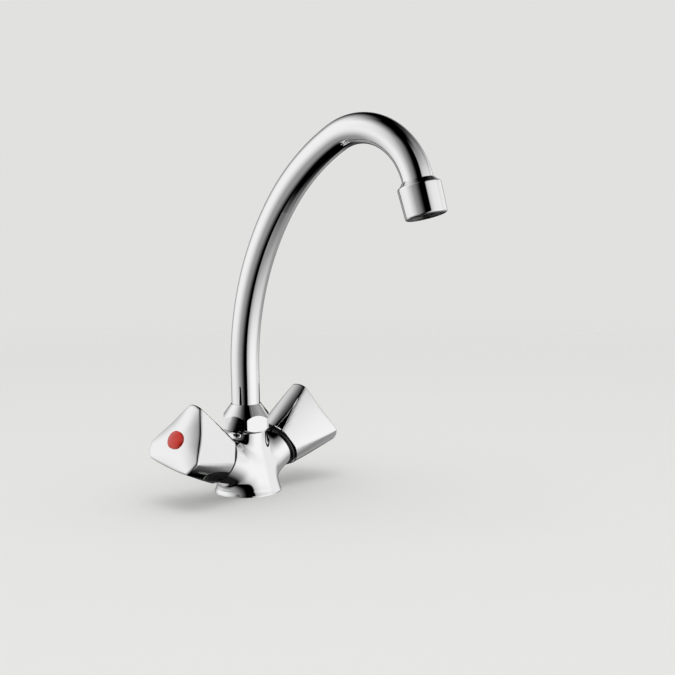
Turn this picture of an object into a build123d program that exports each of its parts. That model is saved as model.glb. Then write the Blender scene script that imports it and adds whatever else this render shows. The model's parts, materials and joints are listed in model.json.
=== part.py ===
from build123d import *
import os
from math import asin, cos, hypot, radians, sin, sqrt, tan

os.makedirs("parts", exist_ok=True)

# Two-handle basin mixer on a single cast body, drawn in millimetres.
# The origin is the centre of the body's flat underside and +Z is up. The spout leans towards -Y,
# the hot arm points to -X and the cold arm to +X.

# Cast body: a flared foot, two upswept arms and a short column
base_r = 21.25
base_rim = 0.8
waist_r = 17.4
waist_z = 9.5
crown_r = 12.0
crown_z = 17.0
arm_r = 13.75
arm_tilt = 27.0
arm_root_z = 11.6
arm_land = 2.6
column_r = 12.3
column_z = 38.7
arm_blend = 5.3
column_blend = 3.0

# Column top, where the spout turns
spigot_r = 11.8
spigot_len = 10.7
column_bore_r = 10.0
chamber_gap = 2.5

# Swivel nut that holds the spout down
nut_lift = 0.3
nut_len = 17.6
nut_af = 28.4
nut_corner_r = 15.85
nut_cone_rise = 36.4
nut_top_ring = 0.3
nut_foot_r = 13.2
nut_foot_rise = 2.6
nut_clock = -16.9
nut_hole_gap = 0.25
thread_fit = 0.1

# Slip ring under the nut
slip_flange = 2.2
slip_sleeve = 3.0
swivel_fit = 0.05
slip_gap = 0.3

# Spout tube: straight, then three tangent bends
tube_r = 9.0
tube_wall = 1.0
tube_straight = 21.2
bend_one_r = 176.35
bend_one_angle = 36.5
bend_two_r = 138.6
bend_two_angle = 25.0
bend_three_r = 41.4
bend_three_angle = 102.1
tube_end_run = 0.3
joint_fit = 0.02

# Bush brazed on the foot of the tube
bush_len = 13.6
bush_bore_r = 6.5
bush_socket = 3.6
spout_groove_w = 2.4
spout_groove_pitch = 4.2
spout_groove_first = 2.6
spout_groove_depth = 1.9

# Outlet collar and flow straightener
collar_socket = 4.0
collar_len = 21.0
collar_cone_r = 11.3
collar_cone_len = 2.4
collar_top_r = 12.7
collar_foot_r = 12.15
collar_lip = 0.4
collar_edge = 1.2
collar_web = 2.5
collar_web_hole_r = 7.4
collar_bore_r = 10.7
washer_t = 1.8
washer_hole_r = 7.6
insert_fit = 0.05
insert_recess = 1.4
insert_wall = 1.1
grid_t = 2.2
cell_af = 3.4
cell_web = 0.7
cell_rows = 5
screen_t = 1.6

# Valve seats inside the arms, measured along each arm's axis from its root
seat_s = 12.0
seat_bore_r = 9.3
thread_bore_r = 10.3
thread_bore_len = 7.0
seat_hole_r = 4.0
seat_hole_len = 4.0
port_x = 8.5
port_y = 4.0
port_r = 4.5
port_depth = 8.0
riser_r = 3.0
riser_wall = 0.8
mixed_x = 7.6
mixed_r = 2.2
mixed_drop = 5.0

# Quarter-turn headwork with two ceramic discs
cage_fit = 0.4
cage_wall = 0.6
cage_lift = 0.6
window_w = 8.0
disc_fit = 0.1
disc_film = 0.05
seal_t = 2.2
seal_hole_r = 4.3
fixed_disc_t = 3.2
moving_disc_t = 3.0
disc_port_in = 1.6
disc_port_out = 6.6
disc_port_angle = 80.0
tongue_w = 3.0
tongue_depth = 1.2
tongue_fit = 0.05
foot_t = 2.0
foot_r = 7.6
foot_gap = 0.3
flange_r = 12.6
flange_t = 1.7
hex_af = 22.0
hex_len = 6.0
neck_r = 7.5
neck_len = 4.5
journal_r = 5.0
journal_fit = 0.05
stem_groove_depth = 1.35
stem_groove_w = 1.8
stem_groove_s = 33.0
clip_gap = 0.3
clip_t = 1.0
clip_r = 6.3
clip_fit = 0.05
clip_groove_r = 4.2
clip_slot = 5.0
drive_r = 4.0
drive_flat = 3.2
drive_fit = 0.05
bonnet_groove_r = 11.4
bonnet_groove_w = 1.5
bonnet_groove_depth = 1.3
bonnet_ring_w = 1.1

# Three-sided flared handle
handle_gap = 2.3
handle_len = 35.15
handle_rim_r = 16.3
handle_end_r = 24.5
side_rim = 15.4
side_end = 17.2
side_curve = 171.0
end_dome_h = 2.7
end_roll_r = 36.0
end_roll_start = 1.0
end_roll_sweep = 40.0
handle_edge = 1.6
skirt_bore_r = 13.7
skirt_depth = 12.6
hot_clock = 19.5
cold_clock = 22.5
screw_r = 2.45
screw_fit = 0.1
screw_len = 11.0
screw_gap = 1.05
screw_head_r = 4.3
screw_head_t = 2.6
screw_key_af = 3.0
screw_key_depth = 1.6
hub_web = 3.0
plug_bore_r = 4.9
plug_fit = 0.05
plug_len = 2.2
cap_r = 5.6
cap_fit = 0.1
cap_sink = 2.3
cap_rise = 1.2
cap_dome = 1.5

# Underside: seal, threaded stud and the horseshoe clamp below the deck
seal_in_r = 17.2
seal_out_r = 19.4
seal_depth = 2.0
seal_fit = 0.05
stud_y = -9.5
stud_r = 4.0
stud_depth = 10.0
stud_below = 52.0
stud_fit = 0.05
stud_chamfer = 0.8
deck_t = 14.0
shoe_r = 23.0
shoe_slot_w = 31.0
shoe_slot_y = -4.0
shoe_gasket_t = 3.0
shoe_plate_t = 2.0
shoe_slot_corner = 6.0
shoe_plate_inset = 0.6
shoe_edge = 2.0
shoe_hole_fit = 0.2
clamp_nut_af = 13.0
clamp_nut_len = 6.5
clamp_nut_chamfer = 0.6

# Heights that follow from the sizes above
spigot_top = column_z + spigot_len
bush_top = spigot_top - slip_sleeve - slip_gap
bush_foot = bush_top - bush_len
chamber_z = bush_foot - chamber_gap
tube_foot = bush_top - bush_socket
nut_foot = column_z + nut_lift
nut_top = nut_foot + nut_len
slip_top = spigot_top + slip_flange
bend_z = nut_top + tube_straight

# Stations along an arm's axis that follow from the sizes above
tilt = radians(arm_tilt)
arm_crease_s = (column_r + arm_r * sin(tilt)) / cos(tilt)
arm_len = arm_crease_s + column_blend / tan(radians(90 - arm_tilt) / 2) + arm_land
thread_foot_s = arm_len - thread_bore_len
fixed_s = seat_s + seal_t
moving_s = fixed_s + fixed_disc_t + disc_film
foot_s = moving_s + moving_disc_t
foot_top_s = foot_s + foot_t
cage_r = seat_bore_r - cage_fit
cage_bore_r = cage_r - cage_wall
disc_r = cage_bore_r - disc_fit
cage_top_s = foot_top_s + foot_gap
flange_top_s = arm_len + flange_t
hex_top_s = flange_top_s + hex_len
neck_top_s = hex_top_s + neck_len
clip_s = neck_top_s + clip_gap
rim_s = arm_len + handle_gap
hub_s = rim_s + skirt_depth
end_s = rim_s + handle_len
crown_s = end_s + end_dome_h
cap_top_s = crown_s + cap_rise
cap_foot_s = crown_s - cap_sink
web_top_s = cap_foot_s - plug_len - screw_gap - screw_head_t
drive_top_s = web_top_s - hub_web
drive_len = drive_top_s - hub_s
riser_top = arm_root_z + (seat_s - (port_x + riser_r) * cos(tilt)) / sin(tilt) - riser_wall

dome_r = (handle_end_r**2 + end_dome_h**2) / (2 * end_dome_h)
cap_dome_r = (cap_r**2 + cap_dome**2) / (2 * cap_dome)
roll_slope = asin(end_roll_start / dome_r)
roll_way = (cos(roll_slope), -sin(roll_slope))


def arm_axis(side):
    """Axis of an arm, pointing outwards; side is -1 for hot and +1 for cold."""
    return Axis((0, 0, arm_root_z), (side * cos(tilt), 0, sin(tilt)))


def arm_plane(side, s, clock=0.0):
    """Plane square to an arm at station s; its x turns from the front upwards by clock degrees."""
    turn = radians(clock)
    return Plane(
        origin=(side * s * cos(tilt), 0, arm_root_z + s * sin(tilt)),
        x_dir=(-side * sin(tilt) * sin(turn), -cos(turn), cos(tilt) * sin(turn)),
        z_dir=(side * cos(tilt), 0, sin(tilt)),
    )


def arm_section(side, clock=0.0):
    """Plane through an arm's axis: x is the radius that arm_plane turns by clock, y the station."""
    root = arm_plane(side, 0, clock)
    return Plane(origin=root.origin, x_dir=root.x_dir, z_dir=root.x_dir.cross(root.z_dir))


def ring_points(inner, outer, low, high):
    """Corners of a rectangular ring section, for a revolve."""
    return [(inner, low), (outer, low), (outer, high), (inner, high)]


def dome_point(r, crown, radius):
    """Point of a dome's section at radius r, below its crown."""
    return (r, crown - radius + sqrt(radius**2 - r**2))


def trefoil_reach(d):
    """Distance from the axis to the corner where two bowed sides at distance d meet."""
    back = side_curve - d
    return (sqrt(back**2 + 4 * (side_curve**2 - back**2)) - back) / 2


def polar(r, angle):
    """Point at radius r and angle in degrees."""
    return (r * cos(radians(angle)), r * sin(radians(angle)))


def is_handle_rim(side, centre):
    """True for an edge's centre on the handle's long corners or round its end."""
    place = arm_plane(side, (rim_s + end_s) / 2 - handle_edge).to_local_coords(centre)
    return place.Z > 0 and hypot(place.X, place.Y) > side_rim


# Cast body with its waterways
with BuildPart() as mixer_body:
    with BuildSketch(Plane.XZ):
        Polygon(
            (0, 0),
            (base_r, 0),
            (base_r, base_rim),
            (waist_r, waist_z),
            (crown_r, crown_z),
            (0, crown_z),
            align=None,
        )
    revolve(axis=Axis.Z)
    for side in (-1, 1):
        with BuildSketch(arm_plane(side, 0, 90)):
            Circle(arm_r)
        extrude(amount=arm_len)
    with BuildSketch(Plane.XY.offset(arm_root_z)):
        Circle(column_r)
    extrude(amount=column_z - arm_root_z)
    split(bisect_by=Plane.XY, keep=Keep.TOP)
    creases = mixer_body.edges().filter_by(GeomType.BSPLINE).filter_by(lambda e: e.length > arm_blend)
    fillet(creases.filter_by(lambda e: e.center().Z < crown_z), radius=arm_blend)
    creases = mixer_body.edges().filter_by(GeomType.BSPLINE).filter_by(lambda e: e.length > arm_blend)
    fillet(creases.filter_by(lambda e: e.center().Z > crown_z + arm_blend), radius=column_blend)
    with BuildSketch(Plane.XY.offset(column_z)):
        Circle(spigot_r)
    extrude(amount=spigot_len)
    with BuildSketch(Plane.XY.offset(chamber_z)):
        Circle(column_bore_r)
    extrude(amount=spigot_top - chamber_z, mode=Mode.SUBTRACT)
    for side in (-1, 1):
        with BuildSketch(arm_section(side)):
            Polygon(
                (0, seat_s - seat_hole_len),
                (seat_hole_r, seat_s - seat_hole_len),
                (seat_hole_r, seat_s),
                (seat_bore_r, seat_s),
                (seat_bore_r, thread_foot_s),
                (thread_bore_r, thread_foot_s),
                (thread_bore_r, arm_len),
                (0, arm_len),
                align=None,
            )
        revolve(axis=arm_axis(side), mode=Mode.SUBTRACT)
        with BuildSketch(Plane.XY):
            with Locations((side * port_x, port_y)):
                Circle(port_r)
        extrude(amount=port_depth, mode=Mode.SUBTRACT)
        with BuildSketch(Plane.XY.offset(port_depth)):
            with Locations((side * port_x, port_y)):
                Circle(riser_r)
        extrude(amount=riser_top - port_depth, mode=Mode.SUBTRACT)
        with BuildSketch(Plane.XY.offset(chamber_z - mixed_drop)):
            with Locations((side * mixed_x, 0)):
                Circle(mixed_r)
        extrude(amount=mixed_drop, mode=Mode.SUBTRACT)
    with BuildSketch(Plane.XY):
        Circle(seal_out_r)
        Circle(seal_in_r, mode=Mode.SUBTRACT)
    extrude(amount=seal_depth, mode=Mode.SUBTRACT)
    with BuildSketch(Plane.XY):
        with Locations((0, stud_y)):
            Circle(stud_r + stud_fit)
    extrude(amount=stud_depth, mode=Mode.SUBTRACT)
mixer_body.part.label = "mixer_body"
export_step(mixer_body.part, "parts/mixer_body.step")

# Foam seal in the groove under the body
with BuildPart() as base_seal:
    with BuildSketch(Plane.XY):
        Circle(seal_out_r - seal_fit)
        Circle(seal_in_r + seal_fit, mode=Mode.SUBTRACT)
    extrude(amount=seal_depth)
base_seal.part.label = "base_seal"
export_step(base_seal.part, "parts/base_seal.step")

# Swivel nut: turned cones above and below and turned corners, cut by the hexagon
nut_bore_r = spigot_r + thread_fit
nut_hole_r = tube_r + nut_hole_gap
nut_crown_r = nut_hole_r + nut_top_ring
nut_cone_drop = (nut_corner_r - nut_crown_r) * tan(radians(90 - nut_cone_rise))
with BuildPart() as spout_nut:
    with BuildSketch(Plane.XZ):
        Polygon(
            (nut_bore_r, nut_foot),
            (nut_foot_r, nut_foot),
            (nut_corner_r, nut_foot + nut_foot_rise),
            (nut_corner_r, nut_top - nut_cone_drop),
            (nut_crown_r, nut_top),
            (nut_hole_r, nut_top),
            (nut_hole_r, slip_top),
            (nut_bore_r, slip_top),
            align=None,
        )
    revolve(axis=Axis.Z)
    with BuildSketch(Plane.XY.offset(nut_foot)):
        RegularPolygon(nut_af / 2, 6, major_radius=False, rotation=nut_clock)
    extrude(amount=nut_len, mode=Mode.INTERSECT)
spout_nut.part.label = "spout_nut"
export_step(spout_nut.part, "parts/spout_nut.step")

# Slip ring: a flange clamped on the column and a sleeve that guides the tube
with BuildPart() as slip_ring:
    with BuildSketch(Plane.XZ):
        Polygon(
            (tube_r + swivel_fit, bush_top + slip_gap),
            (column_bore_r - swivel_fit, bush_top + slip_gap),
            (column_bore_r - swivel_fit, spigot_top),
            (spigot_r, spigot_top),
            (spigot_r, slip_top),
            (tube_r + swivel_fit, slip_top),
            align=None,
        )
    revolve(axis=Axis.Z)
slip_ring.part.label = "slip_ring"
export_step(slip_ring.part, "parts/slip_ring.step")

# Spout tube, swept along its centre line of straight runs and tangent arcs
with BuildPart() as spout_tube:
    with BuildLine(Plane.YZ) as spout_line:
        rise = Line((0, tube_foot), (0, bend_z))
        bend_one = JernArc(rise @ 1, rise % 1, bend_one_r, bend_one_angle)
        bend_two = JernArc(bend_one @ 1, bend_one % 1, bend_two_r, bend_two_angle)
        bend_three = JernArc(bend_two @ 1, bend_two % 1, bend_three_r, bend_three_angle)
        drop = Line(bend_three @ 1, bend_three @ 1 + (bend_three % 1) * (tube_end_run + collar_socket))
    with BuildSketch(Plane.XY.offset(tube_foot)):
        Circle(tube_r)
        Circle(tube_r - tube_wall, mode=Mode.SUBTRACT)
    sweep()
spout_tube.part.label = "spout_tube"
export_step(spout_tube.part, "parts/spout_tube.step")

# Frame of the outlet: the station along the tube's last run starts where the collar starts
outlet_way = drop % 1
outlet_start = drop @ 1 - outlet_way * collar_socket
outlet_axis = Axis(outlet_start, outlet_way)
outlet_section = Plane(origin=outlet_start, x_dir=(1, 0, 0), z_dir=Vector(1, 0, 0).cross(outlet_way))


def outlet_plane(station):
    """Plane square to the outlet's axis, facing the flow."""
    return Plane(origin=outlet_start + outlet_way * station, x_dir=(1, 0, 0), z_dir=outlet_way)


# Bush on the tube's foot: socket above, two ring grooves below
bush_r = column_bore_r - swivel_fit
spout_ring_r = (spout_groove_depth + swivel_fit) / 2 - joint_fit
spout_ring_centre = column_bore_r - joint_fit - spout_ring_r
with BuildPart() as spout_bush:
    with BuildSketch(Plane.XZ):
        Polygon(
            (bush_bore_r, bush_foot),
            (bush_r, bush_foot),
            (bush_r, bush_top),
            (tube_r + joint_fit, bush_top),
            (tube_r + joint_fit, tube_foot),
            (bush_bore_r, tube_foot),
            align=None,
        )
        with Locations(
            (bush_r, bush_foot + spout_groove_first),
            (bush_r, bush_foot + spout_groove_first + spout_groove_pitch),
        ):
            Rectangle(spout_groove_depth * 2, spout_groove_w, mode=Mode.SUBTRACT)
    revolve(axis=Axis.Z)
spout_bush.part.label = "spout_bush"
export_step(spout_bush.part, "parts/spout_bush.step")

# Two square-section rubber rings that seal the swivel
for name, rank in (("lower", 0), ("upper", 1)):
    with BuildPart() as spout_ring:
        with BuildSketch(Plane.XZ):
            with Locations((spout_ring_centre, bush_foot + spout_groove_first + rank * spout_groove_pitch)):
                Rectangle(spout_ring_r * 2, spout_ring_r * 2)
        revolve(axis=Axis.Z)
    spout_ring.part.label = "spout_ring_" + name
    export_step(spout_ring.part, "parts/spout_ring_" + name + ".step")

# Outlet collar: a short cone brazed round the tube, opening into a slightly tapered barrel
barrel_top = collar_socket + collar_web
with BuildPart() as aerator_shell:
    with BuildSketch(outlet_section):
        Polygon(
            (tube_r + joint_fit, 0),
            (tube_r + joint_fit + collar_lip, 0),
            (collar_cone_r, collar_cone_len),
            (collar_top_r, collar_cone_len),
            (collar_foot_r, collar_len),
            (collar_bore_r, collar_len),
            (collar_bore_r, barrel_top),
            (collar_web_hole_r, barrel_top),
            (collar_web_hole_r, collar_socket),
            (tube_r + joint_fit, collar_socket),
            align=None,
        )
    revolve(axis=outlet_axis)
    rims = aerator_shell.edges().filter_by(GeomType.CIRCLE)
    fillet(rims.filter_by(lambda e: e.radius > collar_foot_r - collar_lip), radius=collar_edge)
aerator_shell.part.label = "aerator_shell"
export_step(aerator_shell.part, "parts/aerator_shell.step")

# Washer between the collar's web and the flow straightener
with BuildPart() as aerator_washer:
    with BuildSketch(outlet_plane(barrel_top)):
        Circle(collar_bore_r - insert_fit)
        Circle(washer_hole_r, mode=Mode.SUBTRACT)
    extrude(amount=washer_t)
aerator_washer.part.label = "aerator_washer"
export_step(aerator_washer.part, "parts/aerator_washer.step")

# Flow straightener: a cup with a honeycomb at the mouth and a pierced screen at the back
insert_r = collar_bore_r - insert_fit
insert_top = barrel_top + washer_t
insert_foot = collar_len - insert_recess
cell_pitch = cell_af + cell_web
with BuildPart() as aerator_insert:
    with BuildSketch(outlet_plane(insert_top)):
        Circle(insert_r)
        Circle(insert_r - insert_wall, mode=Mode.SUBTRACT)
    extrude(amount=insert_foot - insert_top)
    with BuildSketch(outlet_plane(insert_foot - grid_t)):
        Circle(insert_r)
        with HexLocations(cell_pitch / 2, cell_rows, cell_rows, major_radius=False) as cells:
            centres = [c.position for c in cells.local_locations]
        reach = insert_r - insert_wall - cell_af * 0.577
        with Locations(*[c for c in centres if hypot(c.X, c.Y) < reach]):
            RegularPolygon(cell_af / 2, 6, major_radius=False, mode=Mode.SUBTRACT)
    extrude(amount=grid_t)
    with BuildSketch(outlet_plane(insert_top)):
        Circle(insert_r)
        with PolarLocations(washer_hole_r - cell_af / 2 - cell_web, 6):
            Circle(cell_af / 2, mode=Mode.SUBTRACT)
        Circle(cell_af / 2, mode=Mode.SUBTRACT)
    extrude(amount=screen_t)
aerator_insert.part.label = "aerator_insert"
export_step(aerator_insert.part, "parts/aerator_insert.step")

# Each arm carries the same headwork and handle, clocked for its side
for side, name, clock in ((-1, "hot", hot_clock), (1, "cold", cold_clock)):
    axis = arm_axis(side)
    section = arm_section(side)

    # Rubber seal on the seat
    with BuildPart() as seat_seal:
        with BuildSketch(section):
            Polygon(*ring_points(seal_hole_r, disc_r, seat_s, fixed_s), align=None)
        revolve(axis=axis)
    seat_seal.part.label = name + "_seat_seal"
    export_step(seat_seal.part, "parts/" + name + "_seat_seal.step")

    # Fixed ceramic disc with two kidney ports
    with BuildPart() as fixed_disc:
        with BuildSketch(arm_plane(side, fixed_s, 90)):
            Circle(disc_r)
            for turn in (-disc_port_angle / 2, 180 - disc_port_angle / 2):
                with BuildSketch(mode=Mode.PRIVATE) as port:
                    with BuildLine():
                        inner = CenterArc((0, 0), disc_port_in, turn, disc_port_angle)
                        outer = CenterArc((0, 0), disc_port_out, turn, disc_port_angle)
                        Line(inner @ 0, outer @ 0)
                        Line(inner @ 1, outer @ 1)
                    make_face()
                add(port.sketch, mode=Mode.SUBTRACT)
        extrude(amount=fixed_disc_t)
    fixed_disc.part.label = name + "_fixed_disc"
    export_step(fixed_disc.part, "parts/" + name + "_fixed_disc.step")

    # Moving ceramic disc, open at two sides, with a slot for the spindle's tongue
    with BuildPart() as moving_disc:
        with BuildSketch(arm_plane(side, moving_s, 90)):
            Circle(disc_r)
            for turn in (90 - disc_port_angle / 2, 270 - disc_port_angle / 2):
                with BuildSketch(mode=Mode.PRIVATE) as notch:
                    with BuildLine():
                        inner = CenterArc((0, 0), disc_port_in, turn, disc_port_angle)
                        outer = CenterArc((0, 0), disc_r * 2, turn, disc_port_angle)
                        Line(inner @ 0, outer @ 0)
                        Line(inner @ 1, outer @ 1)
                    make_face()
                add(notch.sketch, mode=Mode.SUBTRACT)
        extrude(amount=moving_disc_t)
        with BuildSketch(arm_plane(side, foot_s, 90)):
            Rectangle(disc_r * 3, tongue_w + tongue_fit * 2)
        extrude(amount=-tongue_depth - tongue_fit, mode=Mode.SUBTRACT)
    moving_disc.part.label = name + "_moving_disc"
    export_step(moving_disc.part, "parts/" + name + "_moving_disc.step")

    # Brass headwork: cage round the discs, thread, flange, hexagon and neck
    with BuildPart() as valve_body:
        with BuildSketch(section):
            Polygon(
                (0, seat_s + cage_lift),
                (cage_r, seat_s + cage_lift),
                (cage_r, thread_foot_s + cage_lift),
                (thread_bore_r - thread_fit, thread_foot_s + cage_lift),
                (thread_bore_r - thread_fit, arm_len),
                (flange_r, arm_len),
                (flange_r, flange_top_s),
                (neck_r, flange_top_s),
                (neck_r, neck_top_s),
                (0, neck_top_s),
                align=None,
            )
        revolve(axis=axis)
        with BuildSketch(arm_plane(side, flange_top_s)):
            RegularPolygon(hex_af / 2, 6, major_radius=False)
        extrude(amount=hex_len)
        with BuildSketch(section):
            Polygon(
                (0, seat_s),
                (cage_bore_r, seat_s),
                (cage_bore_r, cage_top_s),
                (journal_r + journal_fit, cage_top_s),
                (journal_r + journal_fit, neck_top_s),
                (0, neck_top_s),
                align=None,
            )
        revolve(axis=axis, mode=Mode.SUBTRACT)
        with BuildSketch(section):
            with Locations((bonnet_groove_r, arm_len)):
                Rectangle(bonnet_groove_w, bonnet_groove_depth * 2)
        revolve(axis=axis, mode=Mode.SUBTRACT)
        with BuildSketch(arm_plane(side, moving_s, 90)):
            Rectangle(thread_bore_r * 2, window_w)
        extrude(amount=moving_disc_t, mode=Mode.SUBTRACT)
    valve_body.part.label = name + "_valve_body"
    export_step(valve_body.part, "parts/" + name + "_valve_body.step")

    # Rubber ring under the flange
    with BuildPart() as bonnet_ring:
        with BuildSketch(section):
            with Locations((bonnet_groove_r, arm_len + bonnet_groove_depth / 2)):
                Rectangle(bonnet_ring_w, bonnet_groove_depth)
        revolve(axis=axis)
    bonnet_ring.part.label = name + "_bonnet_ring"
    export_step(bonnet_ring.part, "parts/" + name + "_bonnet_ring.step")

    # Spindle: foot with a tongue, grooved journal and a drive end with two flats
    stem_groove_r = journal_r - stem_groove_depth
    screw_tip_s = web_top_s - screw_len
    with BuildPart() as valve_spindle:
        with BuildSketch(section):
            Polygon(
                (0, foot_s),
                (foot_r, foot_s),
                (foot_r, foot_top_s),
                (journal_r, foot_top_s),
                (journal_r, stem_groove_s - stem_groove_w / 2),
                (stem_groove_r, stem_groove_s - stem_groove_w / 2),
                (stem_groove_r, stem_groove_s + stem_groove_w / 2),
                (journal_r, stem_groove_s + stem_groove_w / 2),
                (journal_r, clip_s - clip_fit),
                (clip_groove_r, clip_s - clip_fit),
                (clip_groove_r, clip_s + clip_t + clip_fit),
                (journal_r, clip_s + clip_t + clip_fit),
                (journal_r, hub_s),
                (0, hub_s),
                align=None,
            )
        revolve(axis=axis)
        with BuildSketch(arm_plane(side, hub_s)):
            Circle(drive_r)
            Rectangle(drive_r * 2, drive_flat * 2, mode=Mode.INTERSECT)
        extrude(amount=drive_len)
        with BuildSketch(arm_plane(side, foot_s, 90)):
            Rectangle(foot_r * 2, tongue_w)
            Circle(foot_r, mode=Mode.INTERSECT)
        extrude(amount=-tongue_depth)
        with BuildSketch(arm_plane(side, screw_tip_s - joint_fit)):
            Circle(screw_r + joint_fit)
        extrude(amount=drive_top_s - screw_tip_s + joint_fit, mode=Mode.SUBTRACT)
    valve_spindle.part.label = name + "_valve_spindle"
    export_step(valve_spindle.part, "parts/" + name + "_valve_spindle.step")

    # Square-section rubber ring in the spindle's groove
    stem_ring_r = (stem_groove_depth + journal_fit) / 2 - joint_fit
    with BuildPart() as stem_ring:
        with BuildSketch(section):
            with Locations((journal_r + journal_fit - joint_fit - stem_ring_r, stem_groove_s)):
                Rectangle(stem_ring_r * 2, stem_ring_r * 2)
        revolve(axis=axis)
    stem_ring.part.label = name + "_stem_ring"
    export_step(stem_ring.part, "parts/" + name + "_stem_ring.step")

    # Open spring clip that keeps the spindle in the neck
    with BuildPart() as retaining_clip:
        with BuildSketch(arm_plane(side, clip_s)):
            Circle(clip_r)
            Circle(clip_groove_r + clip_fit, mode=Mode.SUBTRACT)
            with Locations((0, clip_r)):
                Rectangle(clip_slot, clip_r * 2, mode=Mode.SUBTRACT)
        extrude(amount=clip_t)
    retaining_clip.part.label = name + "_retaining_clip"
    export_step(retaining_clip.part, "parts/" + name + "_retaining_clip.step")

    # Handle: a flared cone cut by three long bowed sides; its domed end rolls off towards each side
    top_s = crown_s + handle_edge
    side_top = side_rim + (side_end - side_rim) * (top_s - rim_s) / handle_len
    roll_start = Vector(*dome_point(end_roll_start, crown_s, dome_r))
    with BuildPart() as handle:
        with BuildSketch(section):
            with BuildLine():
                Polyline((0, crown_s), (0, rim_s), (handle_rim_r, rim_s), (handle_end_r, end_s))
                ThreePointArc(
                    (handle_end_r, end_s),
                    dome_point(handle_end_r / 2, crown_s, dome_r),
                    (0, crown_s),
                )
            make_face()
        revolve(axis=axis)
        for s, d in ((rim_s, side_rim), (top_s, side_top)):
            reach = trefoil_reach(d)
            with BuildSketch(arm_plane(side, s, clock)):
                with BuildLine():
                    for turn in (0, 120, 240):
                        ThreePointArc(polar(reach, turn - 60), polar(d, turn), polar(reach, turn + 60))
                make_face()
        loft(mode=Mode.INTERSECT, ruled=True)
        for turn in (0, 120, 240):
            with BuildSketch(arm_section(side, clock + turn)):
                with BuildLine():
                    roll = JernArc(roll_start, roll_way, end_roll_r, -end_roll_sweep)
                    back = roll_start - Vector(*roll_way) * handle_end_r * 2
                    Polyline(roll @ 1, ((roll @ 1).X, 0), (back.X, 0), back, roll_start)
                make_face()
            extrude(amount=handle_end_r, both=True, mode=Mode.INTERSECT)
        rims = handle.edges().filter_by(lambda e: is_handle_rim(side, e.center()))
        fillet(rims, radius=handle_edge)
        with BuildSketch(section):
            Polygon(
                (0, rim_s),
                (skirt_bore_r, rim_s),
                (skirt_bore_r, hub_s),
                (0, hub_s),
                align=None,
            )
        revolve(axis=axis, mode=Mode.SUBTRACT)
        with BuildSketch(arm_plane(side, hub_s)):
            Circle(drive_r + drive_fit)
            Rectangle(drive_r * 4, (drive_flat + drive_fit) * 2, mode=Mode.INTERSECT)
        extrude(amount=drive_len, mode=Mode.SUBTRACT)
        with BuildSketch(section):
            Polygon(
                (0, drive_top_s),
                (screw_r + screw_fit, drive_top_s),
                (screw_r + screw_fit, web_top_s),
                (plug_bore_r, web_top_s),
                (plug_bore_r, cap_foot_s),
                (cap_r + cap_fit, cap_foot_s),
                (cap_r + cap_fit, cap_top_s),
                (0, cap_top_s),
                align=None,
            )
        revolve(axis=axis, mode=Mode.SUBTRACT)
    handle.part.label = name + "_handle"
    export_step(handle.part, "parts/" + name + "_handle.step")

    # Screw that holds the handle on the spindle
    with BuildPart() as handle_screw:
        with BuildSketch(section):
            Polygon(
                (0, screw_tip_s),
                (screw_r, screw_tip_s),
                (screw_r, web_top_s),
                (screw_head_r, web_top_s),
                (screw_head_r, web_top_s + screw_head_t),
                (0, web_top_s + screw_head_t),
                align=None,
            )
        revolve(axis=axis)
        with BuildSketch(arm_plane(side, web_top_s + screw_head_t)):
            RegularPolygon(screw_key_af / 2, 6, major_radius=False)
        extrude(amount=-screw_key_depth, mode=Mode.SUBTRACT)
    handle_screw.part.label = name + "_handle_screw"
    export_step(handle_screw.part, "parts/" + name + "_handle_screw.step")

    # Coloured index cap pressed into the handle's end
    with BuildPart() as index_cap:
        with BuildSketch(section):
            with BuildLine():
                Polyline(
                    (0, cap_top_s + cap_dome),
                    (0, cap_foot_s - plug_len),
                    (plug_bore_r - plug_fit, cap_foot_s - plug_len),
                    (plug_bore_r - plug_fit, cap_foot_s),
                    (cap_r, cap_foot_s),
                    (cap_r, cap_top_s),
                )
                ThreePointArc(
                    (cap_r, cap_top_s),
                    dome_point(cap_r / 2, cap_top_s + cap_dome, cap_dome_r),
                    (0, cap_top_s + cap_dome),
                )
            make_face()
        revolve(axis=axis)
    index_cap.part.label = name + "_index_cap"
    export_step(index_cap.part, "parts/" + name + "_index_cap.step")

# Threaded stud that draws the body down on the deck
with BuildPart() as mounting_stud:
    with BuildSketch(Plane.XY.offset(-stud_below)):
        with Locations((0, stud_y)):
            Circle(stud_r)
    extrude(amount=stud_below + stud_depth)
    chamfer(mounting_stud.edges().filter_by(GeomType.CIRCLE), length=stud_chamfer)
mounting_stud.part.label = "mounting_stud"
export_step(mounting_stud.part, "parts/mounting_stud.step")

# Horseshoe gasket and plate below the deck, open to the back for the hoses
gasket_foot = -deck_t - shoe_gasket_t
plate_foot = gasket_foot - shoe_plate_t
for name, foot, thick, inset in (
    ("horseshoe_gasket", gasket_foot, shoe_gasket_t, 0),
    ("horseshoe_plate", plate_foot, shoe_plate_t, shoe_plate_inset),
):
    with BuildPart() as shoe:
        with BuildSketch(Plane.XY.offset(foot)):
            Circle(shoe_r - inset)
            with Locations((0, shoe_slot_y + shoe_r)):
                RectangleRounded(shoe_slot_w + inset, shoe_r * 2, shoe_slot_corner, mode=Mode.SUBTRACT)
            with Locations((0, stud_y)):
                Circle(stud_r + shoe_hole_fit, mode=Mode.SUBTRACT)
        extrude(amount=thick)
        fillet(shoe.edges().filter_by(Axis.Z).group_by(Axis.Y)[-1], radius=shoe_edge)
    shoe.part.label = name
    export_step(shoe.part, "parts/" + name + ".step")

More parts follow.
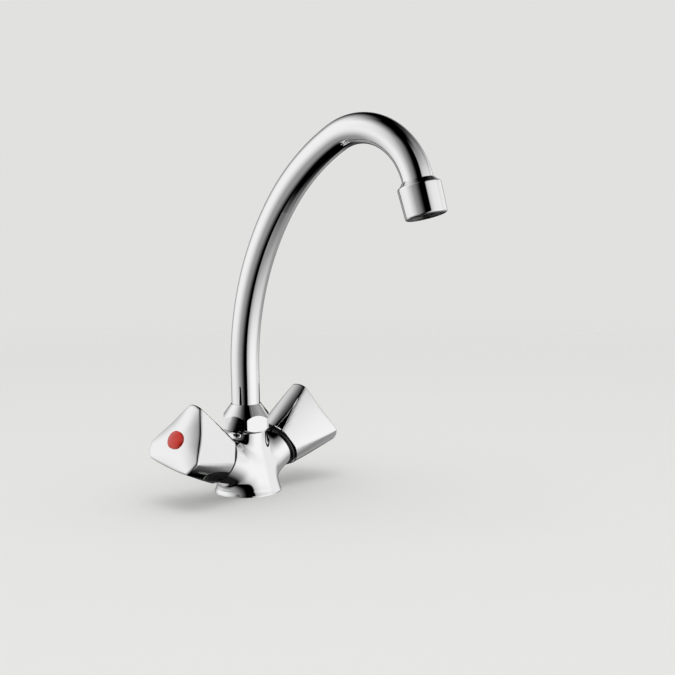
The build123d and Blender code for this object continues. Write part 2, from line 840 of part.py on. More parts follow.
# Hexagon nut on the stud
with BuildPart() as clamp_nut:
    with BuildSketch(Plane.XY.offset(plate_foot - clamp_nut_len)):
        with Locations((0, stud_y)):
            RegularPolygon(clamp_nut_af / 2, 6, major_radius=False)
            Circle(stud_r + stud_fit, mode=Mode.SUBTRACT)
    extrude(amount=clamp_nut_len)
    chamfer(clamp_nut.edges().filter_by(GeomType.CIRCLE), length=clamp_nut_chamfer)
clamp_nut.part.label = "clamp_nut"
export_step(clamp_nut.part, "parts/clamp_nut.step")
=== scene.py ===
import json
import math

import bmesh
import bpy
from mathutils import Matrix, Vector


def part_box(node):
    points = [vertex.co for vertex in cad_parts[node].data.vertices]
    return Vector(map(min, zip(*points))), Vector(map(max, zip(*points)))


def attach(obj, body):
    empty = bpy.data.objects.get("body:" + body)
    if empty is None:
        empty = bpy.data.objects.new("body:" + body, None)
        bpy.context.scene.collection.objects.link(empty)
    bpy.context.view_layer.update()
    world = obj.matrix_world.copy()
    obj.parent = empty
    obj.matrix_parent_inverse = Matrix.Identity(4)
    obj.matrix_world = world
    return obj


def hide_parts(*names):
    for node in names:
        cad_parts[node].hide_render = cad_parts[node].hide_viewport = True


# Basin mixer with two handles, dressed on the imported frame. Metres, +Z up, the spout leans to -Y.
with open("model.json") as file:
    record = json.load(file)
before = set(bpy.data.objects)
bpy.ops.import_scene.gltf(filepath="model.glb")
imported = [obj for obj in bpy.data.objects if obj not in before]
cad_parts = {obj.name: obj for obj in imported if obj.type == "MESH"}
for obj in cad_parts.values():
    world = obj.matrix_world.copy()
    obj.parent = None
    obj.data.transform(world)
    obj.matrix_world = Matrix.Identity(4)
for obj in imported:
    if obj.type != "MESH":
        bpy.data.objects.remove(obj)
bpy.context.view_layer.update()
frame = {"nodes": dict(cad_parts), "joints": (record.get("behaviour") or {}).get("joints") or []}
nodes = frame["nodes"]
scene = bpy.context.scene

MM = 0.001
upright = (0, 0, 1)
sides = ("hot", "cold")
sharp_edge = math.radians(35)
weld = 0.001 * MM


def linear(hex_colour):
    """Linear RGBA of an sRGB hex colour."""
    channels = [int(hex_colour[i : i + 2], 16) / 255 for i in (0, 2, 4)]
    return [c / 12.92 if c <= 0.04045 else ((c + 0.055) / 1.055) ** 2.4 for c in channels] + [1.0]


def add_node(tree, kind, settings=None, links=None):
    """Adds a node: settings fill its properties and sockets, links feed its sockets from others."""
    node = tree.nodes.new(kind)
    for name, value in (settings or {}).items():
        if isinstance(name, str) and hasattr(node, name):
            setattr(node, name, value)
        else:
            node.inputs[name].default_value = value
    for name, source in (links or {}).items():
        tree.links.new(source, node.inputs[name])
    return node


def new_material(name, colour, metallic=0.0, roughness=0.5, **sockets):
    """A Principled material with its constant sockets set; returns it, its tree and its shader."""
    material = bpy.data.materials.new(name)
    material.use_nodes = True
    shader = material.node_tree.nodes["Principled BSDF"]
    shader.inputs["Base Color"].default_value = linear(colour)
    shader.inputs["Metallic"].default_value = metallic
    shader.inputs["Roughness"].default_value = roughness
    for socket, value in sockets.items():
        shader.inputs[socket.replace("_", " ")].default_value = value
    return material, material.node_tree, shader


def centre(node):
    """Middle of a node's box."""
    low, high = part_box(node)
    return (Vector(low) + Vector(high)) / 2


def turn_axis(side):
    """Direction and foot of the axis that a handle turns about."""
    joint = next(joint for joint in frame["joints"] if joint["name"] == side + "_handle_turn")
    return Vector(joint["axis"]).normalized(), Vector(joint["pos_m"])


# Finishes. Each is named for the real one, and says what it gives the eye.

# Noise values at which a cloudy finish is at its smoothest and at its roughest
cloud_clear = 0.35
cloud_dull = 0.75
# How many times longer than wide a lathe's grooves are drawn
groove_stretch = 50


def add_haze(tree, shader, size, low, high):
    """Cloudy roughness, as hand polishing leaves it: clouds of the given size between two levels."""
    place = add_node(tree, "ShaderNodeTexCoord")
    clouds = add_node(
        tree,
        "ShaderNodeTexNoise",
        {"Scale": 1 / size, "Detail": 3.0, "Roughness": 0.6},
        {"Vector": place.outputs["Object"]},
    )
    haze = add_node(
        tree,
        "ShaderNodeMapRange",
        {"From Min": cloud_clear, "From Max": cloud_dull, "To Min": low, "To Max": high},
        {"Value": clouds.outputs["Fac"]},
    )
    tree.links.new(haze.outputs["Result"], shader.inputs["Roughness"])


def add_ripple(tree, shader, size, height, detail=1.0):
    """Slow waves of the surface, which bend the reflections."""
    place = add_node(tree, "ShaderNodeTexCoord")
    waves = add_node(
        tree,
        "ShaderNodeTexNoise",
        {"Scale": 1 / size, "Detail": detail, "Roughness": 0.4},
        {"Vector": place.outputs["Object"]},
    )
    bump = add_node(
        tree,
        "ShaderNodeBump",
        {"Strength": 1.0, "Distance": height},
        {"Height": waves.outputs["Fac"]},
    )
    tree.links.new(bump.outputs["Normal"], shader.inputs["Normal"])


def add_turning(tree, shader, axis, spacing, height):
    """Fine grooves round an axis, as a lathe tool leaves them."""
    place = add_node(tree, "ShaderNodeTexCoord")
    turn = Vector(axis).rotation_difference(Vector(upright)).to_euler()
    along = add_node(
        tree,
        "ShaderNodeMapping",
        {"Rotation": turn},
        {"Vector": place.outputs["Object"]},
    )
    squeezed = add_node(
        tree,
        "ShaderNodeMapping",
        {"Scale": (1 / groove_stretch, 1 / groove_stretch, 1.0)},
        {"Vector": along.outputs["Vector"]},
    )
    grooves = add_node(
        tree,
        "ShaderNodeTexNoise",
        {"Scale": 1 / spacing, "Detail": 2.0, "Roughness": 0.5},
        {"Vector": squeezed.outputs["Vector"]},
    )
    bump = add_node(
        tree,
        "ShaderNodeBump",
        {"Strength": 1.0, "Distance": height},
        {"Height": grooves.outputs["Fac"]},
    )
    tree.links.new(bump.outputs["Normal"], shader.inputs["Normal"])


def chrome_on_cast_brass():
    """Bright chrome on sand-cast, belt-polished brass: a mirror with slow waves from the belt."""
    material, tree, shader = new_material("bright_chrome_on_cast_brass", "E9E9EA", metallic=1.0)
    add_haze(tree, shader, size=9 * MM, low=0.02, high=0.05)
    add_ripple(tree, shader, size=14 * MM, height=0.03 * MM)
    return material


def chrome_on_drawn_tube():
    """Bright chrome on drawn brass tube: the clearest mirror of the set, hardly waved."""
    material, tree, shader = new_material("bright_chrome_on_drawn_tube", "EAEAEB", metallic=1.0)
    add_haze(tree, shader, size=12 * MM, low=0.015, high=0.035)
    add_ripple(tree, shader, size=25 * MM, height=0.02 * MM)
    return material


def chrome_on_turned_brass(name, axis):
    """Bright chrome on turned brass: a mirror with the faintest rings of the lathe below it."""
    full_name = "bright_chrome_on_turned_brass_" + name
    material, tree, shader = new_material(full_name, "E9E9EA", metallic=1.0)
    add_haze(tree, shader, size=6 * MM, low=0.02, high=0.05)
    # real rings of 0.15 mm are drawn at 0.5 mm so that they show
    add_turning(tree, shader, axis, spacing=0.5 * MM, height=0.0008 * MM)
    return material


def chrome_on_die_cast_zinc():
    """Bright chrome on die-cast zinc: a mirror whose flat faces are slightly pillowed by the die."""
    material, tree, shader = new_material("bright_chrome_on_die_cast_zinc", "E8E8E9", metallic=1.0)
    add_haze(tree, shader, size=10 * MM, low=0.025, high=0.055)
    add_ripple(tree, shader, size=16 * MM, height=0.03 * MM)
    return material


def moulded_acrylic(name, deep, clear):
    """Glossy moulded cap plastic: strong even colour with faint flow clouds under a clear shine."""
    material, tree, shader = new_material("moulded_cap_plastic_" + name, clear, roughness=0.12)
    place = add_node(tree, "ShaderNodeTexCoord")
    flow = add_node(
        tree,
        "ShaderNodeTexNoise",
        {"Scale": 1 / (4 * MM), "Detail": 2.0, "Distortion": 0.6},
        {"Vector": place.outputs["Object"]},
    )
    colour = add_node(
        tree,
        "ShaderNodeMix",
        {"data_type": "RGBA", "A": linear(deep), "B": linear(clear)},
        {"Factor": flow.outputs["Fac"]},
    )
    tree.links.new(colour.outputs["Result"], shader.inputs["Base Color"])
    return material


def machined_brass(name, axis):
    """Bare turned brass: warm yellow, brushed round its axis, a little dulled by handling."""
    material, tree, shader = new_material("machined_brass_" + name, "CFAF62", metallic=1.0)
    add_haze(tree, shader, size=3 * MM, low=0.22, high=0.38)
    # real grooves of 0.15 mm are drawn at 0.4 mm so that they show
    add_turning(tree, shader, axis, spacing=0.4 * MM, height=0.006 * MM)
    return material


def lapped_ceramic():
    """Sintered alumina, lapped flat: off-white, dense, with a faint grain and a silky sheen."""
    material, tree, shader = new_material(
        "lapped_alumina_ceramic", "EFEDE6", roughness=0.28, IOR=1.76
    )
    # the real grain is far finer, and is drawn at 0.8 mm so that it shows
    add_ripple(tree, shader, size=0.8 * MM, height=0.003 * MM, detail=3.0)
    return material


def glossy_gap_shade():
    """Glossy black that paints the shade in the gap between each arm and its handle: near black,
    wet-looking, with faint flow waves.
    """
    material, tree, shader = new_material("glossy_black_gap_shade", "101011", roughness=0.1)
    add_haze(tree, shader, size=3 * MM, low=0.06, high=0.16)
    add_ripple(tree, shader, size=4 * MM, height=0.01 * MM)
    return material


def moulded_rubber():
    """Black EPDM rubber: matt, with the bloom and fine grain that moulding leaves."""
    material, tree, shader = new_material("moulded_black_rubber", "1B1B1C", roughness=0.7)
    add_haze(tree, shader, size=2 * MM, low=0.55, high=0.8)
    # the real grain is finer, and is drawn at 0.6 mm so that it shows
    add_ripple(tree, shader, size=0.6 * MM, height=0.02 * MM, detail=4.0)
    return material


def foam_gasket():
    """Closed-cell neoprene foam: charcoal, with cut cells about half a millimetre wide."""
    material, tree, shader = new_material("closed_cell_neoprene_foam", "2A2A2B", roughness=0.9)
    place = add_node(tree, "ShaderNodeTexCoord")
    cells = add_node(
        tree,
        "ShaderNodeTexVoronoi",
        {"Scale": 1 / (0.5 * MM)},
        {"Vector": place.outputs["Object"]},
    )
    bump = add_node(
        tree,
        "ShaderNodeBump",
        {"Strength": 1.0, "Distance": 0.08 * MM},
        {"Height": cells.outputs["Distance"]},
    )
    tree.links.new(bump.outputs["Normal"], shader.inputs["Normal"])
    return material


def moulded_nylon():
    """Natural moulded nylon: milky ivory that lets a little light in, with a soft sheen."""
    material, tree, shader = new_material(
        "natural_moulded_nylon",
        "E6E1D2",
        roughness=0.4,
        Subsurface_Weight=0.2,
        Subsurface_Radius=(1.5 * MM, 1.2 * MM, 0.9 * MM),
        Subsurface_Scale=1.0,
    )
    add_ripple(tree, shader, size=1.5 * MM, height=0.01 * MM, detail=3.0)
    return material


def dark_acetal():
    """Black moulded acetal of the flow straightener: near black and dull, with faint flow waves."""
    material, tree, shader = new_material(
        "black_moulded_acetal", "0C0C0D", roughness=0.5, Specular_IOR_Level=0.3
    )
    add_haze(tree, shader, size=2 * MM, low=0.45, high=0.6)
    add_ripple(tree, shader, size=1.2 * MM, height=0.01 * MM, detail=3.0)
    return material


def zinc_plate():
    """Bright zinc plate with clear passivation: bluish grey with pale yellow and blue patches."""
    material, tree, shader = new_material("clear_zinc_plate", "B9BEC2", metallic=1.0)
    place = add_node(tree, "ShaderNodeTexCoord")
    patches = add_node(
        tree,
        "ShaderNodeTexNoise",
        {"Scale": 1 / (7 * MM), "Detail": 4.0, "Roughness": 0.6},
        {"Vector": place.outputs["Object"]},
    )
    tint = add_node(tree, "ShaderNodeValToRGB", {}, {"Fac": patches.outputs["Fac"]})
    bluish, yellowish = tint.color_ramp.elements
    bluish.position = 0.3
    bluish.color = linear("A9B4BF")
    yellowish.position = 0.7
    yellowish.color = linear("C9C5AE")
    tree.links.new(tint.outputs["Color"], shader.inputs["Base Color"])
    add_haze(tree, shader, size=3 * MM, low=0.25, high=0.42)
    # the real plating's grain is far finer, and is drawn at 0.7 mm so that it shows
    add_ripple(tree, shader, size=0.7 * MM, height=0.006 * MM, detail=3.0)
    return material


def spring_steel():
    """Phosphated spring steel: dark grey with a dull oily shine."""
    material, tree, shader = new_material("phosphated_spring_steel", "5B5C5E", metallic=1.0)
    add_haze(tree, shader, size=1.5 * MM, low=0.35, high=0.55)
    # the real crystals are far finer, and are drawn at 0.5 mm so that they show
    add_ripple(tree, shader, size=0.5 * MM, height=0.004 * MM, detail=3.0)
    return material


outlet_way = centre("aerator_insert") - centre("aerator_washer")

cast_chrome = chrome_on_cast_brass()
tube_chrome = chrome_on_drawn_tube()
handle_chrome = chrome_on_die_cast_zinc()
brass_upright = machined_brass("upright", upright)
black_rubber = moulded_rubber()
# glossy black for the rings of painted shade between arms and handles
glossy_black = glossy_gap_shade()
neoprene = foam_gasket()
nylon = moulded_nylon()
acetal = dark_acetal()
ceramic = lapped_ceramic()
zinc = zinc_plate()
dark_steel = spring_steel()

finishes = {
    "mixer_body": cast_chrome,
    "base_seal": neoprene,
    "spout_nut": chrome_on_turned_brass("nut", upright),
    "slip_ring": nylon,
    "spout_tube": tube_chrome,
    "spout_bush": brass_upright,
    "spout_ring_lower": black_rubber,
    "spout_ring_upper": black_rubber,
    "aerator_shell": chrome_on_turned_brass("outlet", outlet_way),
    "aerator_washer": black_rubber,
    "aerator_insert": acetal,
    "mounting_stud": zinc,
    "horseshoe_gasket": black_rubber,
    "horseshoe_plate": zinc,
    "clamp_nut": zinc,
}
cap_plastics = {
    "hot": moulded_acrylic("red", "C0281F", "DA453A"),
    "cold": moulded_acrylic("blue", "1C4FA0", "2E6BC4"),
}
for side in sides:
    arm_brass = machined_brass(side, turn_axis(side)[0])
    finishes[side + "_handle"] = handle_chrome
    finishes[side + "_index_cap"] = cap_plastics[side]
    finishes[side + "_valve_body"] = arm_brass
    finishes[side + "_valve_spindle"] = arm_brass
    finishes[side + "_fixed_disc"] = ceramic
    finishes[side + "_moving_disc"] = ceramic
    finishes[side + "_seat_seal"] = black_rubber
    finishes[side + "_bonnet_ring"] = black_rubber
    finishes[side + "_stem_ring"] = black_rubber
    finishes[side + "_handle_screw"] = zinc
    finishes[side + "_retaining_clip"] = dark_steel

for name, node in nodes.items():
    node.data.materials.clear()
    node.data.materials.append(finishes[name])


def new_piece(name, mesh, material, sharp_angle=None):
    """Makes an object of a finished bmesh; given a sharp angle, it is smooth-shaded but for edges
    over it.
    """
    if sharp_angle is not None:
        for face in mesh.faces:
            face.smooth = True
        for edge in mesh.edges:
            edge.smooth = not edge.is_manifold or edge.calc_face_angle() < sharp_angle
    data = bpy.data.meshes.new(name)
    mesh.to_mesh(data)
    mesh.free()
    data.materials.append(material)
    piece = bpy.data.objects.new(name, data)
    scene.collection.objects.link(piece)
    return piece


# Threaded stud: metric thread along its whole length, with chamfered ends
thread_pitch = 1.25 * MM
thread_depth = 0.65 * MM
thread_crest = 0.16 * MM
thread_root = 0.31 * MM
thread_steps = 24
thread_weld = thread_depth / 50
stud_chamfer = 0.8 * MM


def threaded_stud():
    """The fixing's stud, wound as one long tooth and cut flat at both ends."""
    low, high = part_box("mounting_stud")
    outer = (high[0] - low[0]) / 2
    root = outer - thread_depth
    axis = Vector(((low[0] + high[0]) / 2, (low[1] + high[1]) / 2, 0))
    flank = (thread_pitch - thread_crest - thread_root) / 2
    # the winding starts a pitch below the stud and ends above it, so that both ends are cut
    start = low[2] - thread_pitch
    turns = math.ceil((high[2] - low[2]) / thread_pitch) + 2
    mesh = bmesh.new()
    tooth = (
        (root, 0),
        (root, thread_root),
        (outer, thread_root + flank),
        (outer, thread_root + flank + thread_crest),
        (root, thread_pitch),
    )
    points = [mesh.verts.new(axis + Vector((reach, 0, start + height))) for reach, height in tooth]
    edges = [mesh.edges.new(pair) for pair in zip(points, points[1:])]
    bmesh.ops.spin(
        mesh,
        geom=points + edges,
        cent=axis,
        axis=upright,
        dvec=(0, 0, thread_pitch / thread_steps),
        angle=math.tau * turns,
        steps=thread_steps * turns,
    )
    bmesh.ops.remove_doubles(mesh, verts=mesh.verts, dist=thread_weld)
    for level, way in ((low[2], -1), (high[2], 1)):
        cut = bmesh.ops.bisect_plane(
            mesh,
            geom=mesh.verts[:] + mesh.edges[:] + mesh.faces[:],
            plane_co=axis + Vector((0, 0, level)),
            plane_no=(0, 0, way),
            clear_outer=True,
        )
        rim = [edge for edge in cut["geom_cut"] if isinstance(edge, bmesh.types.BMEdge)]
        bmesh.ops.holes_fill(mesh, edges=rim, sides=0)
    for vert in mesh.verts:
        # the chamfer draws the ends of the thread in
        end = min(vert.co.z - low[2], high[2] - vert.co.z)
        reach = (vert.co - axis).to_2d().length
        limit = outer - max(stud_chamfer - end, 0)
        if reach > limit:
            vert.co.xy = axis.xy + (vert.co.xy - axis.xy) * limit / reach
    bmesh.ops.recalc_face_normals(mesh, faces=mesh.faces)
    stud = new_piece("threaded_stud", mesh, zinc)
    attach(stud, "tap_body")
    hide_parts("mounting_stud")


threaded_stud()


# Handles: a three-sided flared grip whose end swells to the middle and rolls off towards each side
rim_r = 16.3 * MM
end_r = 24.5 * MM
side_at_rim = 15.4 * MM
side_at_end = 17.2 * MM
side_curve = 171.0 * MM
grip_len = 35.15 * MM
crown_rise = 2.7 * MM
skirt_bore_r = 13.7 * MM
skirt_depth = 12.6 * MM
socket_r = 5.7 * MM
socket_depth = 2.3 * MM
corner_soft = 0.14 * MM
edge_reach = 1.8 * MM
rim_round = 0.4 * MM
# The end's curvature is strongest towards the middle of each side and weakest towards the corners
roll_r = 35.0 * MM
corner_roll_r = end_r**2 / (2 * crown_rise)
side_turns = [math.radians(turn) for turn in (0, 120, 240)]
clock_angles = {"hot": math.radians(19.5), "cold": math.radians(22.5)}
round_steps = 480
flank_steps = 6
edge_steps = 8
end_steps = 26
corner_passes = 6


def grip_radius(angle, height):
    """Distance from the axis to the grip's flank: the nearest of the cone and three bowed sides."""
    share = height / grip_len
    side_distance = side_at_rim + (side_at_end - side_at_rim) * share
    reaches = [rim_r + (end_r - rim_r) * share]
    for side_turn in side_turns:
        cosine = math.cos(angle - side_turn)
        back = side_distance - side_curve
        reaches.append(cosine * back + math.sqrt(side_curve**2 - back**2 * (1 - cosine**2)))
    nearest = min(reaches)
    crowd = sum(math.exp((nearest - reach) / corner_soft) for reach in reaches)
    return nearest - corner_soft * math.log(crowd)


def end_height(angle, radius):
    """Height of the end's surface above the rim."""
    flat = 1 / corner_roll_r
    strong = 1 / roll_r
    curvature = (strong + flat) / 2 + (strong - flat) / 2 * math.cos(3 * angle)
    return grip_len + crown_rise - curvature * radius**2 / 2


def grip_section(angle):
    """Half section of the handle at an angle, from the skirt's inside over the end to the socket."""
    # flank and end each need the other's height where they meet, so it is closed in on
    top = grip_len
    for _ in range(corner_passes):
        top = end_height(angle, grip_radius(angle, top))
    corner = Vector((grip_radius(angle, top), top))
    flank_end = top - edge_reach
    flank = Vector((grip_radius(angle, flank_end), flank_end))
    inward = corner.x - edge_reach
    lip = Vector((inward, end_height(angle, inward)))
    socket_floor = grip_len + crown_rise - socket_depth
    points = [
        Vector((0, skirt_depth)),
        Vector((skirt_bore_r, skirt_depth)),
        Vector((skirt_bore_r, rim_round)),
        Vector((skirt_bore_r + rim_round, 0)),
        Vector((grip_radius(angle, 0) - rim_round, 0)),
        Vector((grip_radius(angle, rim_round), rim_round)),
    ]
    for step in range(1, flank_steps):
        height = rim_round + (flank_end - rim_round) * step / flank_steps
        points.append(Vector((grip_radius(angle, height), height)))
    for step in range(edge_steps + 1):
        t = step / edge_steps
        points.append(flank * (1 - t) ** 2 + corner * 2 * t * (1 - t) + lip * t**2)
    for step in range(1, end_steps + 1):
        radius = inward + (socket_r - inward) * step / end_steps
        points.append(Vector((radius, end_height(angle, radius))))
    points.append(Vector((socket_r, socket_floor)))
    points.append(Vector((0, socket_floor)))
    return points


def three_sided_handle(side):
    """A plain barrel of rings, each moved to its place on the handle's sections."""
    node = side + "_handle"
    axis, root = turn_axis(side)
    rim = min((vert.co - root).dot(axis) for vert in nodes[node].data.vertices)
    front = Vector((0, -1, 0))
    upward = Vector(upright) - axis * axis.z
    upward.normalize()
    first = front * math.cos(clock_angles[side]) + upward * math.sin(clock_angles[side])
    second = axis.cross(first)
    rows = len(grip_section(0))
    mesh = bmesh.new()
    column = [mesh.verts.new((1, 0, row)) for row in range(rows)]
    links = [mesh.edges.new(pair) for pair in zip(column, column[1:])]
    bmesh.ops.spin(
        mesh,
        geom=column + links,
        cent=(0, 0, 0),
        axis=upright,
        angle=math.tau,
        steps=round_steps,
        use_merge=True,
    )
    sections = {}
    for vert in mesh.verts:
        angle = math.atan2(vert.co.y, vert.co.x)
        spoke_number = round(angle / math.tau * round_steps)
        if spoke_number not in sections:
            sections[spoke_number] = grip_section(angle)
        radius, height = sections[spoke_number][round(vert.co.z)]
        spoke = first * math.cos(angle) + second * math.sin(angle)
        vert.co = root + axis * (rim + height) + spoke * radius
    bmesh.ops.remove_doubles(mesh, verts=mesh.verts, dist=weld)
    bmesh.ops.recalc_face_normals(mesh, faces=mesh.faces)
    grip = new_piece(side + "_three_sided_grip", mesh, handle_chrome, sharp_edge)
    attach(grip, side + "_turn")
    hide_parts(node)


for side in sides:
    three_sided_handle(side)


# Black ring at each headwork's flange, in the gap between the arm and the handle: its black is
# painted shade, standing in for the shaded gap and the dark reflections there
gap_ring_in = 12.65 * MM
gap_ring_out = 15.3 * MM
gap_ring_width = 1.7 * MM
gap_ring_round = 0.45 * MM
gap_ring_lift = 0.05 * MM
gap_ring_round_steps = 4
gap_ring_steps = 160
# From the foot of a handle's axis to the flat end of the casting's arm
arm_len = 28.306 * MM


def gap_shade_ring(side):
    """One ring of painted shade, spun from its section with two rounded outer corners."""
    axis, root = turn_axis(side)
    first = axis.orthogonal().normalized()
    low = arm_len + gap_ring_lift
    mesh = bmesh.new()
    corners = (
        (gap_ring_in, low),
        (gap_ring_out, low),
        (gap_ring_out, low + gap_ring_width),
        (gap_ring_in, low + gap_ring_width),
    )
    points = [mesh.verts.new(root + first * radius + axis * height) for radius, height in corners]
    mesh.faces.new(points)
    bmesh.ops.bevel(
        mesh,
        geom=[points[1], points[2]],
        offset=gap_ring_round,
        segments=gap_ring_round_steps,
        profile=0.5,
        affect="VERTICES",
        material=-1,
    )
    # only the section's edges are spun, because its face would stay as a wall inside the ring
    mesh.faces.remove(mesh.faces[:][0])
    bmesh.ops.spin(
        mesh,
        geom=mesh.verts[:] + mesh.edges[:],
        cent=root,
        axis=axis,
        angle=math.tau,
        steps=gap_ring_steps,
        use_merge=True,
    )
    bmesh.ops.remove_doubles(mesh, verts=mesh.verts, dist=weld)
    bmesh.ops.recalc_face_normals(mesh, faces=mesh.faces)
    # the ring's glossy black paints the shade in the gap
    ring = new_piece(side + "_gap_shade_ring", mesh, glossy_black, sharp_edge)
    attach(ring, "tap_body")


for side in sides:
    gap_shade_ring(side)


# Polished skin of the casting, where foot, arms and column flow into each other
base_r = 21.25 * MM
base_rim = 0.8 * MM
waist_r = 17.4 * MM
waist_z = 9.5 * MM
arm_r = 13.75 * MM
column_r = 12.3 * MM
column_z = 38.7 * MM
skin_lift = 0.03 * MM
skin_wall = 0.4 * MM
skin_weld = 0.005 * MM
# The flow between the forms is tight at the foot's rim and reaches its full width above it
flow_tight = 0.6 * MM
flow_wide = 2.2 * MM
flow_rise = 3.0 * MM
skin_turns = 320
skin_rings = 200
skin_centre = Vector((0, 0, 10 * MM))
longest_ray = 60 * MM
ray_halvings = 18
arm_ways = [turn_axis(side) for side in sides]
arm_root_z = arm_ways[0][1].z
foot_flank = Vector((waist_z - base_rim, base_r - waist_r)).normalized()


def casting_gap(place):
    """About how far a point is from the blended outside of the casting, less than 0 inside it."""
    reach = math.hypot(place.x, place.y)
    below = min(place.z - arm_root_z, 0)
    gaps = [
        (reach - base_r) * foot_flank.x + (place.z - base_rim) * foot_flank.y,
        math.hypot(reach, below) - column_r,
    ]
    for axis, root in arm_ways:
        offset = place - root
        along = offset.dot(axis)
        gaps.append(math.hypot((offset - axis * along).length, min(along, 0)) - arm_r)
    nearest = min(gaps)
    risen = min(max((place.z - base_rim) / flow_rise, 0), 1)
    flow = flow_tight + (flow_wide - flow_tight) * risen
    crowd = sum(math.exp((nearest - gap) / flow) for gap in gaps)
    return nearest - flow * math.log(crowd) - skin_lift


def casting_skin():
    """A sphere drawn in to the casting's outside, cut at its four ends and given a wall."""
    mesh = bmesh.new()
    bmesh.ops.create_uvsphere(mesh, u_segments=skin_turns, v_segments=skin_rings, radius=1)
    for vert in mesh.verts:
        way = vert.co.normalized()
        near, far = 0.0, longest_ray
        for _ in range(ray_halvings):
            middle = (near + far) / 2
            if casting_gap(skin_centre + way * middle) < 0:
                near = middle
            else:
                far = middle
        vert.co = skin_centre + way * far
    cuts = [
        (Vector((0, 0, base_rim + skin_lift)), Vector((0, 0, -1))),
        (Vector((0, 0, column_z + skin_lift)), Vector((0, 0, 1))),
    ]
    for axis, root in arm_ways:
        cuts.append((root + axis * (arm_len + skin_lift), axis))
    for place, way in cuts:
        bmesh.ops.bisect_plane(
            mesh,
            geom=mesh.verts[:] + mesh.edges[:] + mesh.faces[:],
            plane_co=place,
            plane_no=way,
            clear_outer=True,
        )
    bmesh.ops.remove_doubles(mesh, verts=mesh.verts, dist=skin_weld)
    bmesh.ops.recalc_face_normals(mesh, faces=mesh.faces)
    bmesh.ops.solidify(mesh, geom=mesh.faces[:], thickness=skin_wall)
    skin = new_piece("casting_skin", mesh, cast_chrome, sharp_edge)
    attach(skin, "tap_body")


casting_skin()


# Studio: a light tent that only reflections show, a pale room, a white floor and one soft lamp.
# The tent's angles are in degrees: a turn goes round from the lens, and a rise goes up from level.
tent_radius = 4.0
tent_turns = 180
tent_rings = 90
lens_bearing = -139.0
# Brightness of each panel, then where its left, right, lower and upper edges fade
tent_panels = {
    "key": (1.10, (-15, 60), (85, 160), (-72, -6), (10, 70)),
    "fill": (1.05, (-175, -115), (-90, -5), (-68, 4), (35, 80)),
    "side_lift": (0.98, (60, 90), (135, 175), (-22, -4), (14, 34)),
    "wall": (0.33, (-170, -145), (105, 125), (-72, -45), (48, 68)),
    "all_round": (0.36, (-200, -190), (190, 200), (-50, -38), (26, 36)),
}
# A dark slit beside the lens draws the chrome's dark bands, and leans over above its bend
slit_left = (-42, -1)
slit_right = (14, 19)
slit_lean = 0.28
slit_bend = -20
# The cloth opposite the lens is darker, which gives the chrome its dark outlines
opposite_shade = 0.85
opposite_edge = (158, 174)


def soft_step(value, start, end):
    """0 before start, 1 past end and a smooth rise between them."""
    t = min(max((value - start) / (end - start), 0), 1)
    return t * t * (3 - 2 * t)


def panel_cover(turn, rise, left, right, foot, head):
    """How much of one panel is at an angle, with each edge fading between two angles."""
    across = soft_step(turn, *left) * (1 - soft_step(turn, *right))
    return across * soft_step(rise, *foot) * (1 - soft_step(rise, *head))


def tent_level(turn, rise):
    """Brightness of the tent at a turn and a rise."""
    levels = [level * panel_cover(turn, rise, *edges) for level, *edges in tent_panels.values()]
    lean = slit_lean * max(rise - slit_bend, 0)
    slit = soft_step(turn, *slit_left) * (1 - soft_step(turn - lean, *slit_right))
    opposite = opposite_shade * soft_step(abs(turn), *opposite_edge)
    return max(levels) * (1 - slit) * (1 - opposite)


def tent_cloth():
    """White tent cloth lit from outside: it glows at the level painted on the mesh."""
    material = bpy.data.materials.new("tent_cloth")
    material.use_nodes = True
    tree = material.node_tree
    tree.nodes.clear()
    painted = add_node(tree, "ShaderNodeAttribute", {"attribute_name": "tent_level"})
    glow = add_node(tree, "ShaderNodeEmission", {}, {"Strength": painted.outputs["Fac"]})
    add_node(tree, "ShaderNodeOutputMaterial", {}, {"Surface": glow.outputs["Emission"]})
    material.cycles.emission_sampling = "NONE"
    return material


def light_tent():
    """A sphere round everything, painted with the tent's brightness."""
    mesh = bmesh.new()
    bmesh.ops.create_uvsphere(
        mesh, u_segments=tent_turns, v_segments=tent_rings, radius=tent_radius
    )
    levels = mesh.verts.layers.float.new("tent_level")
    for vert in mesh.verts:
        turn = math.degrees(math.atan2(vert.co.y, vert.co.x)) - lens_bearing
        turn = (turn + 180) % 360 - 180
        rise = math.degrees(math.asin(max(-1, min(1, vert.co.z / tent_radius))))
        vert[levels] = tent_level(turn, rise)
    tent = new_piece("light_tent", mesh, tent_cloth())
    tent.visible_camera = False
    tent.visible_diffuse = False
    tent.visible_shadow = False
    tent.visible_transmission = False
    tent.visible_volume_scatter = False


light_tent()

room = bpy.data.worlds.new("pale_room")
room.use_nodes = True
room.node_tree.nodes["Background"].inputs["Color"].default_value = linear("E1E1E0")
scene.world = room

floor_radius = 1.2
floor_steps = 96
fade_start = 0.25
fade_end = 1.1


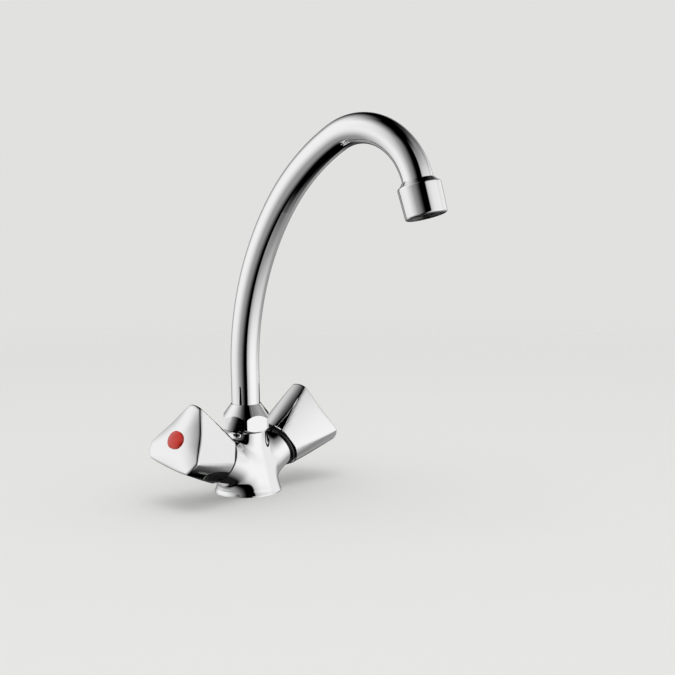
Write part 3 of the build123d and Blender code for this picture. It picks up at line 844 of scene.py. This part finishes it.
def matt_paper():
    """Matt white paper that fades out before its rim, so that no edge of it shows."""
    material, tree, shader = new_material("matt_white_paper", "F2F2F0", roughness=0.9)
    place = add_node(tree, "ShaderNodeTexCoord")
    reach = add_node(
        tree, "ShaderNodeVectorMath", {"operation": "LENGTH"}, {0: place.outputs["Object"]}
    )
    fade = add_node(
        tree,
        "ShaderNodeMapRange",
        {"interpolation_type": "SMOOTHSTEP", "From Min": fade_start, "From Max": fade_end},
        {"Value": reach.outputs["Value"]},
    )
    clear = add_node(tree, "ShaderNodeBsdfTransparent")
    mixed = add_node(
        tree,
        "ShaderNodeMixShader",
        {},
        {0: fade.outputs["Result"], 1: shader.outputs["BSDF"], 2: clear.outputs["BSDF"]},
    )
    tree.links.new(mixed.outputs["Shader"], tree.nodes["Material Output"].inputs["Surface"])
    return material


def paper_floor():
    """A round sheet under the tap, which takes its shadow and stays out of its reflections."""
    mesh = bmesh.new()
    bmesh.ops.create_circle(mesh, cap_ends=True, segments=floor_steps, radius=floor_radius)
    floor = new_piece("floor", mesh, matt_paper())
    floor.visible_glossy = False


paper_floor()

softbox_place = Vector((-0.3, -0.3, 1.6))
softbox_width = 1.2
softbox_watts = 5.0


def top_softbox():
    """A weak square lamp overhead, aimed at the foot, which shades the floor and the caps."""
    light = bpy.data.lights.new("top_softbox", "AREA")
    light.shape = "SQUARE"
    light.size = softbox_width
    light.energy = softbox_watts
    softbox = bpy.data.objects.new("top_softbox", light)
    softbox.location = softbox_place
    softbox.rotation_euler = softbox_place.to_track_quat("Z", "Y").to_euler()
    softbox.visible_glossy = False
    softbox.visible_camera = False
    scene.collection.objects.link(softbox)


top_softbox()

# Camera at the photograph's angle. Its angles are in degrees, its focal length in film millimetres.
camera_place = (-0.62917, -0.62329, 0.21304)
camera_tilt = 82.5477
camera_roll = 1.0113
camera_heading = -49.2167
focal_length = 75.27
film_width = 36


def photo_camera():
    """The camera that the main render is taken with."""
    lens = bpy.data.cameras.new("camera")
    lens.lens = focal_length
    lens.sensor_width = film_width
    camera = bpy.data.objects.new("camera", lens)
    camera.location = camera_place
    angles = (camera_tilt, camera_roll, camera_heading)
    camera.rotation_euler = [math.radians(angle) for angle in angles]
    scene.collection.objects.link(camera)
    scene.camera = camera


photo_camera()
scene.view_settings.view_transform = "Standard"
